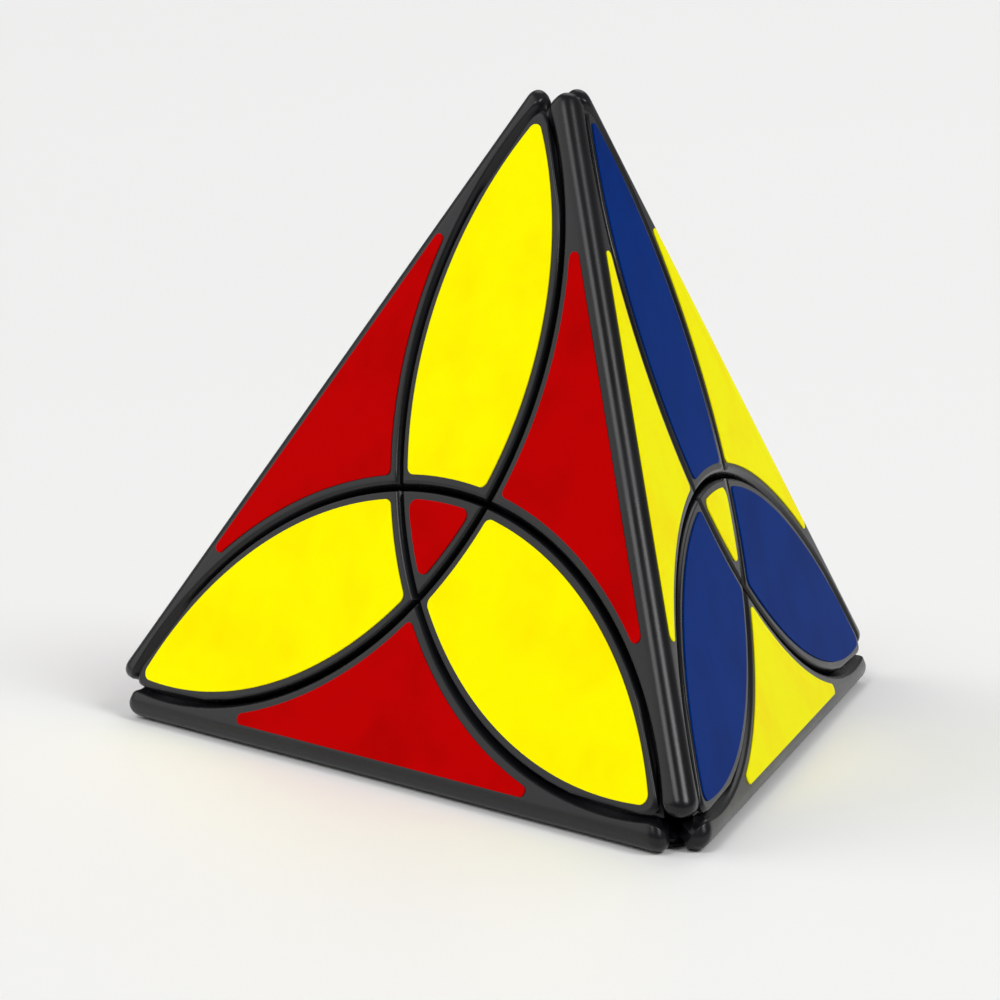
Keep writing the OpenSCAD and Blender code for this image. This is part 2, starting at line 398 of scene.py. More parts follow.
@dataclass(frozen=True)
class VinylSticker:
    """Vinyl film, die cut: a strong, flat colour with almost no gloss.

    The film takes up a slight orange peel from its glue, and its colour is laid on a little
    thicker in places, which shows as faint wide clouds.
    """

    name: str
    colour: str
    cloud: str
    ior: float = 1.53
    roughness: float = 0.34
    # close to none: a real film has more, but its sheen would pale the colour
    specular_level: float = 0.005
    cloud_mm: float = 9.0
    # where on the cloud pattern the second colour begins and ends
    cloud_span: tuple[float, float] = (0.45, 0.72)
    # real orange peel is 0.5 to 1.5 mm from crest to crest
    peel_mm: float = 1.1
    peel_height_mm: float = 0.003
    peel_strength: float = 0.5

    def build(self) -> bpy.types.Material:
        """Makes the material and returns it."""
        material, shader, place = fresh_material(
            self.name,
            {
                "IOR": self.ior,
                "Roughness": self.roughness,
                "Specular IOR Level": self.specular_level,
            },
        )
        tree = material.node_tree
        cloud = add_node(
            tree,
            "ShaderNodeTexNoise",
            inputs={"Vector": place, "Scale": per_metre(self.cloud_mm), "Detail": 2.0},
        ).outputs["Fac"]
        tint = add_node(tree, "ShaderNodeValToRGB", inputs={"Fac": cloud})
        tint.color_ramp.elements[0].position = self.cloud_span[0]
        tint.color_ramp.elements[0].color = linear(self.colour)
        tint.color_ramp.elements[1].position = self.cloud_span[1]
        tint.color_ramp.elements[1].color = linear(self.cloud)
        tree.links.new(tint.outputs["Color"], shader.inputs["Base Color"])
        peel = add_node(
            tree,
            "ShaderNodeTexNoise",
            inputs={"Vector": place, "Scale": per_metre(self.peel_mm), "Detail": 1.0},
        ).outputs["Fac"]
        bump = add_node(
            tree,
            "ShaderNodeBump",
            inputs={
                "Strength": self.peel_strength,
                "Distance": self.peel_height_mm * MM,
                "Height": peel,
            },
        )
        tree.links.new(bump.outputs["Normal"], shader.inputs["Normal"])
        return material


@dataclass(frozen=True)
class NaturalNylon:
    """Nylon 66, moulded without pigment: a milky ivory that light enters a little way."""

    name: str = "natural_nylon"
    colour: str = "#dcd9cc"
    shade: str = "#cfcab8"
    ior: float = 1.53
    roughness: float = 0.42
    mottle_mm: float = 4.0
    # light goes in a millimetre or so
    depth_weight: float = 0.15
    depth_mm: float = 1.0

    def build(self) -> bpy.types.Material:
        """Makes the material and returns it."""
        material, shader, place = fresh_material(
            self.name,
            {
                "IOR": self.ior,
                "Roughness": self.roughness,
                "Subsurface Weight": self.depth_weight,
                "Subsurface Scale": self.depth_mm * MM,
            },
        )
        tree = material.node_tree
        mottle = add_node(
            tree,
            "ShaderNodeTexNoise",
            inputs={"Vector": place, "Scale": per_metre(self.mottle_mm), "Detail": 3.0},
        ).outputs["Fac"]
        tint = add_node(tree, "ShaderNodeValToRGB", inputs={"Fac": mottle})
        tint.color_ramp.elements[0].color = linear(self.colour)
        tint.color_ramp.elements[1].color = linear(self.shade)
        tree.links.new(tint.outputs["Color"], shader.inputs["Base Color"])
        return material


@dataclass(frozen=True)
class ZincPlatedSteel:
    """Steel wire and cold-headed screws, bright zinc plated.

    Plating leaves a cool, slightly cloudy metal.
    """

    name: str = "zinc_plated_steel"
    colour: str = "#b9bcc2"
    shade: str = "#a3a7ae"
    roughness: tuple[float, float] = (0.22, 0.42)
    cloud_mm: float = 1.5

    def build(self) -> bpy.types.Material:
        """Makes the material and returns it."""
        material, shader, place = fresh_material(self.name, {"Metallic": 1.0})
        tree = material.node_tree
        cloud = add_node(
            tree,
            "ShaderNodeTexNoise",
            inputs={"Vector": place, "Scale": per_metre(self.cloud_mm), "Detail": 4.0},
        ).outputs["Fac"]
        tint = add_node(tree, "ShaderNodeValToRGB", inputs={"Fac": cloud})
        tint.color_ramp.elements[0].color = linear(self.colour)
        tint.color_ramp.elements[1].color = linear(self.shade)
        tree.links.new(tint.outputs["Color"], shader.inputs["Base Color"])
        gloss = add_node(
            tree,
            "ShaderNodeMapRange",
            inputs={
                "Value": cloud,
                "To Min": self.roughness[0],
                "To Max": self.roughness[1],
            },
        )
        tree.links.new(gloss.outputs["Result"], shader.inputs["Roughness"])
        return material


STICKER_FINISHES = {
    Colour.RED: VinylSticker("red_vinyl_film", "#bc0001", "#b00000"),
    Colour.YELLOW: VinylSticker("yellow_vinyl_film", "#fff800", "#ffee00"),
    Colour.BLUE: VinylSticker("blue_vinyl_film", "#002d7a", "#002870"),
    Colour.GREEN: VinylSticker("green_vinyl_film", "#00853f", "#007a38"),
}


# ---------------------------------------------------------------- meshes


def grid_faces(rows: int, columns: int) -> np.ndarray:
    """Quads of a grid whose columns close into a ring.

    Args:
        rows: Number of rings.
        columns: Number of points in each ring.

    Returns:
        An array of four point numbers per quad, point (i, j) being number i columns + j.
    """
    i = np.arange(rows - 1)[:, None] * columns
    j = np.arange(columns)[None, :]
    following = (j + 1) % columns
    return np.stack(
        [i + j, i + following, i + columns + following, i + columns + j], axis=-1
    ).reshape(-1, 4)


def surface_object(
    name: str, rings: np.ndarray, material: bpy.types.Material
) -> bpy.types.Object:
    """Makes a closed piece from a stack of rings of points.

    Args:
        name: The piece's name.
        rings: Points in metres, by ring and by place in the ring. The first and the last
            ring are drawn together to a point.
        material: The piece's material.

    Returns:
        The object, with smooth shading that breaks at creases.
    """
    mesh = bpy.data.meshes.new(name)
    rows, columns = rings.shape[:2]
    mesh.from_pydata(rings.reshape(-1, 3), [], grid_faces(rows, columns))
    work = bmesh.new()
    work.from_mesh(mesh)
    bmesh.ops.remove_doubles(work, verts=work.verts, dist=WELD_DISTANCE)
    bmesh.ops.dissolve_degenerate(work, dist=WELD_DISTANCE / 3, edges=work.edges)
    bmesh.ops.recalc_face_normals(work, faces=work.faces)
    work.to_mesh(mesh)
    work.free()
    mesh.shade_smooth()
    mesh.set_sharp_from_angle(angle=CREASE_ANGLE)
    mesh.materials.append(material)
    piece = bpy.data.objects.new(name, mesh)
    bpy.context.scene.collection.objects.link(piece)
    return piece


# ---------------------------------------------------------------- petals and centres


@dataclass(frozen=True)
class Tile:
    """A piece that lies on one face only, with curved walls towards the centre.

    It is a tube of rings about the line from the centre to the front face. A ring lies on a
    sphere about the centre, or on a plane beside the face.
    """

    cuts: Cuts = field(default_factory=Cuts)
    fits: Fits = field(default_factory=Fits)
    normal: tuple[float, float, float] = (1, 1, -1)
    wall_rows: int = 8
    round_rows: int = 6
    nearest: float = 14.0
    farthest: float = 72.0
    halvings: int = 36
    # the plateau has a ring this far inside its rim, which keeps its shading flat
    holding: float = 0.06

    def rays(
        self, radius: np.ndarray, inside: float, outside: float
    ) -> np.ndarray:
        """Directions of the walls at each column, for its own radius.

        Args:
            radius: Distance from the centre, one for each column.
            inside: How far the walls on balls that hold the piece are set in.
            outside: How far the walls on balls that pass the piece are set in.

        Returns:
            Unit vectors, one for each column.
        """
        raise NotImplementedError

    def columns(self) -> int:
        """Number of columns of a ring."""
        raise NotImplementedError

    def sphere_ring(
        self, radius: float | np.ndarray, inside: float, outside: float
    ) -> np.ndarray:
        """The ring at some distance from the centre, its rays times that distance."""
        r = np.broadcast_to(np.asarray(radius, float), (self.columns(),))
        return r[:, None] * self.rays(r, inside, outside)

    def plane_ring(self, depth: float, inset: float) -> tuple[np.ndarray, np.ndarray]:
        """The ring in a plane beside the face.

        Args:
            depth: How far the plane lies under the face.
            inset: How far the walls are set in.

        Returns:
            The ring's points and their distances from the centre. Each distance r is found
            by halving: r times the ray's share along the face's normal is the height.
        """
        height = self.cuts.face_distance - depth
        along = np.array(self.normal) / math.sqrt(3)
        low = np.full(self.columns(), self.nearest)
        high = np.full(self.columns(), self.farthest)
        for _ in range(self.halvings):
            middle = (low + high) / 2
            over = middle * (self.rays(middle, inset, inset) @ along) > height
            low, high = np.where(over, low, middle), np.where(over, middle, high)
        radius = (low + high) / 2
        return self.sphere_ring(radius, inset, inset), radius

    @staticmethod
    def towards(ring: np.ndarray, share: float) -> np.ndarray:
        """A ring drawn in towards its middle: share 1 keeps it and 0 is a point."""
        middle = ring.mean(axis=0)
        return middle + share * (ring - middle)

    def bowl(self, ring: np.ndarray, share: float) -> np.ndarray:
        """A ring on a sphere drawn in towards its middle, kept on the sphere."""
        drawn = self.towards(ring, share)
        size = np.linalg.norm(ring, axis=1, keepdims=True)
        return drawn / np.linalg.norm(drawn, axis=1, keepdims=True) * size

    def eased(self, ring: np.ndarray, share: float) -> np.ndarray:
        """A ring with its outer tip rounded by some share; here it has no such tip."""
        return ring

    def shell_rings(self) -> np.ndarray:
        """The hollow shell: plateau, rounded rim, walls, lip, and the same again inside.

        Returns:
            Rings of points in millimetres, in the cube frame.
        """
        fits = self.fits
        rim = fits.rim_round
        top, _ = self.plane_ring(0.0, rim)
        hold, _ = self.plane_ring(0.0, rim + self.holding)
        hold, top = self.eased(hold, 1.0), self.eased(top, 1.0)
        rings = [self.towards(hold, s) for s in (0.0, 0.35, 0.7, 1.0)] + [top]
        radius = None
        for depth, inset in fits.rim_steps(self.round_rows)[1:]:
            ring, radius = self.plane_ring(depth, inset)
            rings.append(self.eased(ring, 1 - depth / fits.rim_drop))
        joint = fits.foot_joint + fits.glue_line
        for share in np.linspace(0, 1, self.wall_rows + 1)[1:]:
            rings.append(
                self.sphere_ring(radius + share * (joint - radius), 0.0, 0.0)
            )
        wall = fits.shell_wall
        inner_top, inner_radius = self.plane_ring(wall, wall)
        for share in np.linspace(1, 0, self.wall_rows + 1)[:-1]:
            rings.append(
                self.sphere_ring(
                    inner_radius + share * (joint - inner_radius), wall, wall
                )
            )
        rings += [inner_top, self.towards(inner_top, 0.0)]
        return np.array(rings)

    def foot_rings(self) -> np.ndarray:
        """The foot on its round track, its neck, and the spigot inside the shell.

        Returns:
            Rings of points in millimetres, in the cube frame.
        """
        fits = self.fits
        half_gap = self.cuts.cut_gap / 2
        reach = fits.foot_reach
        outer = fits.track_outer - half_gap
        over = fits.track_outer + half_gap
        inset = fits.shell_wall + fits.spigot_clearance
        first = self.sphere_ring(fits.track_inner, -reach, self.foot_pull())
        last = self.sphere_ring(fits.foot_joint + fits.spigot_height, inset, inset)
        rings = [self.bowl(first, s) for s in (0.0, 0.5)]
        rings += [
            self.sphere_ring(r, -reach, self.foot_pull())
            for r in np.linspace(fits.track_inner, outer, 5)
        ]
        rings += [self.sphere_ring(r, 0.0, self.foot_pull()) for r in (outer, over)]
        rings += [self.sphere_ring(r, 0.0, 0.0) for r in (over, fits.foot_joint)]
        rings += [self.sphere_ring(fits.foot_joint, inset, inset), last]
        rings += [self.bowl(last, s) for s in (0.5, 0.0)]
        return np.array(rings)

    def foot_pull(self) -> float:
        """How far a foot keeps back from the balls that pass the piece."""
        return self.fits.foot_reach


@dataclass(frozen=True)
class Petal(Tile):
    """A petal: inside the X and Y balls, outside both Z balls, pointed at its corner."""

    side_columns: int = 44
    end_columns: int = 22
    corner_columns: int = 8
    tip_columns: int = 2

    def columns(self) -> int:
        """Number of columns of a ring."""
        return 2 * self.side_columns + self.end_columns + self.corner_columns

    def rays(
        self, radius: np.ndarray, inside: float, outside: float
    ) -> np.ndarray:
        """Directions of the four walls.

        With a the cosine to the balls that hold the piece and b the cosine to those that
        pass it, the X wall is (a, s cos t, s sin t) with s^2 + a^2 = 1, from where its
        third part is -b to where it is +b or the Y wall is met. The Y wall mirrors it, and
        the two Z walls have third part -b and +b.

        Args:
            radius: Distance from the centre, one for each column.
            inside: How far the X and Y walls are set in.
            outside: How far the Z walls are set in.

        Returns:
            Unit vectors, one for each column.
        """
        n, e, c = self.side_columns, self.end_columns, self.corner_columns
        a = self.cuts.cosine(radius, self.cuts.inner_radius(inside))
        b = self.cuts.cosine(radius, self.cuts.outer_radius(outside))
        tip = np.minimum(b, np.sqrt(np.maximum(1 - 2 * a**2, 0)))
        x_side, corner = slice(0, n), slice(n, n + c)
        y_side, end = slice(n + c, 2 * n + c), slice(2 * n + c, None)
        share = np.arange(n) / n
        made = np.empty((len(radius), 3))

        def side(part: slice, shares: np.ndarray) -> tuple[np.ndarray, ...]:
            """The wall's three parts: along its axis, across it, and along Z."""
            s = np.sqrt(1 - a[part] ** 2)
            low = -np.arcsin(np.clip(b[part] / s, -1, 1))
            high = np.arcsin(np.clip(tip[part] / s, -1, 1))
            angle = low + (high - low) * shares
            return a[part], s * np.cos(angle), s * np.sin(angle)

        def cross(part: slice, height: np.ndarray, shares: np.ndarray) -> np.ndarray:
            """The wall at some height along Z, from the X wall to the Y wall."""
            s = np.sqrt(1 - height**2)
            most = math.sqrt(0.5)
            slope = np.clip(a[part] / s, 0, most)
            angle = np.arccos(slope) + (np.arcsin(slope) - np.arccos(slope)) * shares
            return np.stack([s * np.cos(angle), s * np.sin(angle), height], axis=-1)

        along, across, up = side(x_side, share)
        made[x_side] = np.stack([along, across, up], axis=-1)
        made[corner] = cross(corner, tip[corner], np.arange(c) / c)
        along, across, up = side(y_side, 1 - share)
        made[y_side] = np.stack([across, along, up], axis=-1)
        made[end] = cross(end, -b[end], 1 - np.arange(e) / e)
        return made

    def eased(self, ring: np.ndarray, share: float) -> np.ndarray:
        """Rounds the tip that points to the puzzle's corner.

        Args:
            ring: The ring's points.
            share: 1 for the full rounding, 0 for none.

        Returns:
            The ring, on which the columns about the tip move onto the parabola
            (1 - t)^2 p + 2 t (1 - t) q + t^2 r, p and r being the points where the rounding
            starts and q the sharp tip.
        """
        first = self.side_columns - self.tip_columns
        last = self.side_columns + self.corner_columns + self.tip_columns
        t = np.linspace(0, 1, last - first + 1)[:, None]
        tip = ring[self.side_columns : self.side_columns + self.corner_columns + 1]
        sharp = tip.mean(axis=0)
        curve = (1 - t) ** 2 * ring[first] + 2 * t * (1 - t) * sharp + t**2 * ring[last]
        made = ring.copy()
        made[first : last + 1] += share * (curve - ring[first : last + 1])
        return made


@dataclass(frozen=True)
class Centre(Tile):
    """The small three-sided piece in the middle of a face: inside X, Y and -Z balls."""

    side_columns: int = 24

    def columns(self) -> int:
        """Number of columns of a ring."""
        return 3 * self.side_columns

    def rays(
        self, radius: np.ndarray, inside: float, outside: float
    ) -> np.ndarray:
        """Directions of the three walls.

        The X wall is (a, s cos t, s sin t), a being the cosine to the balls, from where its
        second part is a to where its third part is -a. The other two are that wall turned
        by thirds about the face's normal.

        Args:
            radius: Distance from the centre, one for each column.
            inside: How far the walls are set in.
            outside: Not used, because no ball passes the piece.

        Returns:
            Unit vectors, one for each column.
        """
        n = self.side_columns
        third = np.array([[0, 0, -1], [1, 0, 0], [0, -1, 0]], float)
        a = self.cuts.cosine(radius, self.cuts.inner_radius(inside)).reshape(3, n)
        s = np.sqrt(1 - a**2)
        slope = np.clip(a / s, 0, 1)
        start, stop = -np.arccos(slope), -np.arcsin(slope)
        angle = start + (stop - start) * (np.arange(n) / n)
        walls = np.stack([a, s * np.cos(angle), s * np.sin(angle)], axis=-1)
        turned = [walls[0], walls[1] @ (third @ third).T, walls[2] @ third.T]
        return np.concatenate(turned)


# ---------------------------------------------------------------- edge caps


@dataclass(frozen=True)
class EdgeCap:
    """The hollow outer half of an edge piece: two facets that meet in a rounded spine.

    It is a section across the edge, a closed ring, carried along the edge. Places are given
    as e along the edge, w across it and z outwards. Each end is drawn together into a
    rounded fingertip.
    """

    cuts: Cuts = field(default_factory=Cuts)
    fits: Fits = field(default_factory=Fits)
    stations: int = 46
    tip_stations: int = 9
    wall_rows: int = 9
    round_rows: int = 6
    spine_rows: int = 7
    lip_width: float = 2.3
    # the cap is hollow only this far to either side of its middle
    cavity_half_length: float = 9.5
    tip_length: float = 2.3
    # rows of the section stay this far apart where they would meet near a fingertip
    tip_step: float = 0.02
    lean_start: float = 36.0

    @property
    def axis_offset(self) -> float:
        """Distance of a neighbour ball's middle along e, and along w."""
        return self.cuts.ball_distance / math.sqrt(2)

    @property
    def spine_centre(self) -> float:
        """Height z of the middle of the spine's rounding."""
        return math.sqrt(3) * (self.cuts.face_distance - self.cuts.spine_radius)

    def end_of_cut(self, z: np.ndarray) -> np.ndarray:
        """How far out along e the piece's own ball reaches at w = 0 and some height z."""
        ball = self.cuts.inner_radius(0.0)
        return np.sqrt(np.maximum(ball**2 - (z - self.cuts.ball_distance) ** 2, 0))

    def wall(self, e: np.ndarray, z: np.ndarray) -> np.ndarray:
        """Half width of the piece at e and z: the neighbour ball's sphere solved for w."""
        d, ball = self.axis_offset, self.cuts.outer_radius(0.0)
        under = np.maximum(ball**2 - z**2 - (np.abs(e) - d) ** 2, 0)
        return np.maximum(d - np.sqrt(under), 0)

    def rim(self, e: np.ndarray, depth: float, inset: float) -> np.ndarray:
        """Half width of a facet at e.

        The facet's plane z = sqrt(3) h - sqrt(2) w is put into the neighbour ball's sphere,
        which gives 3 w^2 - 2 p w + q = 0, and the smaller root is the rim.

        Args:
            e: Places along the edge.
            depth: How far the plane lies under the facet.
            inset: How far the wall is set in.

        Returns:
            Half widths, one for each place.
        """
        d, ball = self.axis_offset, self.cuts.outer_radius(inset)
        h = self.cuts.face_distance - depth
        p = d + math.sqrt(6) * h
        q = d**2 + 3 * h**2 - ball**2 + (np.abs(e) - d) ** 2
        return (p - np.sqrt(p**2 - 3 * q)) / 3

    def facet(self, w: np.ndarray, depth: float) -> np.ndarray:
        """Height z of a facet's plane at w, lowered by depth."""
        h = self.cuts.face_distance - depth
        return math.sqrt(3) * h - math.sqrt(2) * w

    def half_section(self, e: np.ndarray) -> tuple[np.ndarray, np.ndarray]:
        """The half of the section with w >= 0, from the cavity's ceiling to the spine.

        Args:
            e: Places along the edge, as a column.

        Returns:
            w and z, by place along the edge and by row of the section.
        """
        cuts, fits = self.cuts, self.fits
        d, ball = self.axis_offset, cuts.outer_radius(0.0)
        joint = fits.cap_joint + fits.glue_line
        reach = (joint**2 + 2 * d**2 - ball**2) / (2 * d)
        out = np.abs(e)
        foot = np.maximum(reach - out, 0)
        keel = np.sqrt(np.maximum(ball**2 - d**2 - (out - d) ** 2, 1))

        def on_joint(w: np.ndarray) -> np.ndarray:
            """Height of the joint's sphere, or of the keel beyond it."""
            sphere = np.sqrt(np.maximum(joint**2 - out**2 - w**2, 1))
            return np.where(out < reach, sphere, keel)

        lip = np.maximum(foot - self.lip_width, 0)
        hollow = np.clip(np.minimum(self.cavity_half_length - out, lip), 0, 1)
        ceiling = self.facet(lip, fits.shell_wall)
        widths = [0 * out, lip / 2, lip, lip, foot]
        heights = [on_joint(w) for w in widths]
        for i in range(3):
            heights[i] = heights[i] + hollow * (ceiling - heights[i])

        tangent = cuts.spine_radius * math.sqrt(2 / 3)
        steps = fits.rim_steps(self.round_rows)[::-1]
        least = tangent + self.tip_step * np.arange(len(steps), 0, -1)
        low_rim = np.maximum(self.rim(out, fits.rim_drop, 0.0), least[0])
        low_z = self.facet(low_rim, fits.rim_drop)
        base_z = heights[-1]
        for row in range(1, self.wall_rows):
            z = base_z + row / self.wall_rows * (low_z - base_z)
            w = self.wall(self.leaned(out, z), z)
            widths.append(np.maximum(w, row * self.tip_step))
            heights.append(z)

        for (depth, inset), narrow in zip(steps, least):
            w = np.maximum(self.rim(out, depth, inset), narrow)
            widths.append(w)
            heights.append(self.facet(w, depth))

        edge = widths[-1]
        for share in (0.04, 0.5):
            w = edge + share * (tangent - edge)
            widths.append(w)
            heights.append(self.facet(w, 0.0))
        for angle in np.linspace(
            math.atan(1 / math.sqrt(2)), math.pi / 2, self.spine_rows
        ):
            widths.append(0 * out + cuts.spine_radius * math.cos(angle))
            heights.append(
                0 * out + self.spine_centre + cuts.spine_radius * math.sin(angle)
            )
        return np.concatenate(widths, axis=1), np.concatenate(heights, axis=1)

    def leaned(self, out: np.ndarray, z: np.ndarray) -> np.ndarray:
        """Place along e of a point near a fingertip, which follows the slanting end cut.

        Args:
            out: Distance along the edge of the section.
            z: Heights of its points.

        Returns:
            The distance, less what the own ball takes away at that height, with the full
            amount at the tip and none before the lean starts.
        """
        top = self.spine_centre + self.cuts.spine_radius
        end = self.end_of_cut(np.array(top))
        short = end - self.end_of_cut(np.maximum(z, 0.8 * top))
        share = np.clip((out - self.lean_start) / (end - self.lean_start), 0, 1)
        return out - share * short

    def rings(self) -> np.ndarray:
        """The whole cap.

        Near an end the section is drawn in by the cosine of an angle that runs to a quarter
        turn, while its place moves on by the sine, which makes a rounded fingertip.

        Returns:
            Rings of points in millimetres, in the cube frame.
        """
        top = self.spine_centre + self.cuts.spine_radius
        end = float(self.end_of_cut(np.array(top)))
        straight = end - self.tip_length
        turn = np.linspace(0, math.pi / 2, self.tip_stations + 1)[1:]
        half = np.concatenate(
            [
                straight * np.linspace(0, 1, self.stations + 1),
                straight + self.tip_length * np.sin(turn),
            ]
        )
        draw = np.concatenate([np.ones(self.stations + 1), np.cos(turn)])
        e = np.concatenate([-half[:0:-1], half])[:, None]
        draw = np.concatenate([draw[:0:-1], draw])[:, None]
        w, z = self.half_section(e)
        w = w * draw
        z = self.spine_centre + draw * (z - self.spine_centre)
        place = np.sign(e) * self.leaned(np.abs(e), z)
        w = np.concatenate([w, -w[:, -2:0:-1]], axis=1)
        z = np.concatenate([z, z[:, -2:0:-1]], axis=1)
        place = np.concatenate([place, place[:, -2:0:-1]], axis=1)
        root = math.sqrt(0.5)
        return np.stack([(place + w) * root, (place - w) * root, z], axis=-1)


# ---------------------------------------------------------------- stickers


@dataclass(frozen=True)
class Arc:
    """A circle on a face, of which a sticker's side is a part, in millimetres.

    The sticker lies inside it where side is 1 and outside it where side is -1.
    """

    centre: tuple[float, float]
    radius: float
    side: int

    def shrunk(self, amount: float) -> "Arc":
        """The circle that bounds the sticker after the sticker shrinks by some amount."""
        return Arc(self.centre, self.radius - self.side * amount, self.side)

    def meet(self, other: "Arc", near: tuple[float, float]) -> np.ndarray:
        """Where two circles cross.

        Args:
            other: The other circle.
            near: The crossing nearest to this point is meant.

        Returns:
            The crossing: the point a along the line of centres, where
            a = (d^2 + r^2 - s^2) / 2 d, moved sideways by sqrt(r^2 - a^2).
        """
        first = np.array(self.centre)
        line = np.array(other.centre) - first
        d = np.linalg.norm(line)
        line = line / d
        a = (d**2 + self.radius**2 - other.radius**2) / (2 * d)
        aside = math.sqrt(self.radius**2 - a**2) * np.array([-line[1], line[0]])
        crossings = [first + a * line + aside, first + a * line - aside]
        return min(crossings, key=lambda c: float(np.linalg.norm(c - np.array(near))))

    def trace(self, start: np.ndarray, stop: np.ndarray, count: int) -> np.ndarray:
        """Unit vectors from the centre, turning the short way from start to stop."""
        centre = np.array(self.centre)
        first, last = (math.atan2(*(p - centre)[::-1]) for p in (start, stop))
        sweep = (last - first + math.pi) % (2 * math.pi) - math.pi
        angles = first + sweep * np.linspace(0, 1, count)
        return np.stack([np.cos(angles), np.sin(angles)], axis=-1)


@dataclass(frozen=True)
class Sticker:
    """A thin film with rounded corners, bounded by arcs that follow the cuts on a face.

    The sides are worked out for a sticker smaller by the corner radius, and every point is
    then pushed outwards by that radius, with a fan of directions at each corner.
    """

    cuts: Cuts = field(default_factory=Cuts)
    thickness: float = 0.15
    inset: float = 1.55
    spine_margin: float = 0.1
    corner: float = 1.1
    facet_corner: float = 0.75
    edge_round: float = 0.05
    side_points: int = 48
    corner_points: int = 10
    # a circle so large that its arc is straight
    straight_radius: float = 1e5
    # the points that rings are drawn in to: above the face's middle, and above its rim
    petal_heart: float = 26.0
    facet_heart: float = 6.0

    def cut_arc(self, angle: float, side: int) -> Arc:
        """The arc that a cut leaves on a face, set in for the sticker.

        Args:
            angle: Direction of its centre on the face, in degrees from the corner upwards.
            side: 1 where the sticker lies inside the arc, and -1 outside.

        Returns:
            The arc. Its centre is sqrt(2/3) D from the face's centre, and its radius is
            sqrt(b^2 - (D / sqrt(3) - h)^2), b being the ball's radius.
        """
        cuts = self.cuts
        away = cuts.ball_distance * math.sqrt(2 / 3)
        under = cuts.ball_distance / math.sqrt(3) - cuts.face_distance
        radius = math.sqrt(cuts.ball_radius**2 - under**2)
        a = math.radians(angle)
        return Arc(
            (away * math.sin(a), away * math.cos(a)), radius - side * self.inset, side
        )

    def petal_sides(self) -> tuple[list[Arc], list[tuple[float, float]]]:
        """The sides of a petal's sticker, and points near the corner after each."""
        sides = [self.cut_arc(60, 1), self.cut_arc(180, -1), self.cut_arc(-60, 1)]
        return sides, [(-9.0, 5.0), (9.0, 5.0), (0.0, 55.0)]

    def centre_sides(self) -> tuple[list[Arc], list[tuple[float, float]]]:
        """The sides of a face centre's sticker, and points near the corner after each."""
        sides = [self.cut_arc(60, 1), self.cut_arc(180, 1), self.cut_arc(-60, 1)]
        return sides, [(-5.0, 3.0), (5.0, 3.0), (0.0, -6.0)]

    def facet_sides(self) -> tuple[list[Arc], list[tuple[float, float]]]:
        """The sides of an edge facet's sticker, and points near the corner after each."""
        cuts = self.cuts
        inradius = cuts.edge_length / (2 * math.sqrt(3))
        rim = inradius - cuts.spine_radius * math.sqrt(2) - self.spine_margin
        line = Arc((0.0, self.straight_radius - rim), self.straight_radius, 1)
        sides = [self.cut_arc(-60, -1), line, self.cut_arc(60, -1)]
        return sides, [(-30.0, -rim), (30.0, -rim), (0.0, -9.0)]

    def outline(
        self, sides: list[Arc], near: list[tuple[float, float]]
    ) -> tuple[np.ndarray, np.ndarray]:
        """The rounded outline.

        Args:
            sides: The arcs, in order round the sticker.
            near: A point near the corner between each side and the next.

        Returns:
            The points of the smaller outline and the outward directions there, so that the
            sticker's rim is the first plus the corner radius times the second.
        """
        small = [arc.shrunk(self.corner) for arc in sides]
        count = len(small)
        corners = [small[i].meet(small[(i + 1) % count], near[i]) for i in range(count)]
        points, outwards = [], []
        for i, arc in enumerate(small):
            rays = arc.trace(corners[i - 1], corners[i], self.side_points)
            points.append(np.array(arc.centre) + arc.radius * rays)
            outwards.append(arc.side * rays)
            following = small[(i + 1) % count]
            onward = following.trace(corners[i], corners[(i + 1) % count], 2)
            first, last = outwards[-1][-1], following.side * onward[0]
            turn = math.atan2(first[0] * last[1] - first[1] * last[0], first @ last)
            angles = turn * np.linspace(0, 1, self.corner_points + 2)[1:-1, None]
            across = np.array([-first[1], first[0]])
            outwards.append(first * np.cos(angles) + across * np.sin(angles))
            points.append(np.broadcast_to(corners[i], outwards[-1].shape))
        return np.concatenate(points), np.concatenate(outwards)

    def rings(
        self, sides: list[Arc], near: list[tuple[float, float]], heart: float
    ) -> np.ndarray:
        """The whole film: underside, upright cut edge, softened top edge and top.

        Args:
            sides: The arcs, in order round the sticker.
            near: A point near the corner between each side and the next.
            heart: Height on the face of the point that the flat sides are drawn in to.

        Returns:
            Rings of points in millimetres, in the cube frame.
        """
        inner, outward = self.outline(sides, near)
        middle = np.array([0.0, heart])
        soft = self.edge_round
        levels = [
            (0.0, 0.0, 0.0),
            (1.0, 0.0, 0.0),
            (1.0, 0.0, self.thickness - soft),
            (1.0, 0.3 * soft, self.thickness - 0.3 * soft),
            (1.0, soft, self.thickness),
            (1.0, 2.5 * soft, self.thickness),
            (0.5, 0.0, self.thickness),
            (0.0, 0.0, self.thickness),
        ]
        right = np.array([-1, 1, 0]) / math.sqrt(2)
        up = np.array([1, 1, 2]) / math.sqrt(6)
        normal = np.array([1, 1, -1]) / math.sqrt(3)
        rings = []
        for share, inset, height in levels:
            flat = inner + (self.corner - inset) * outward
            flat = middle + share * (flat - middle)
            rings.append(
                flat[:, :1] * right
                + flat[:, 1:] * up
                + (self.cuts.face_distance + height) * normal
            )
        return np.array(rings)


# ---------------------------------------------------------------- the puzzle


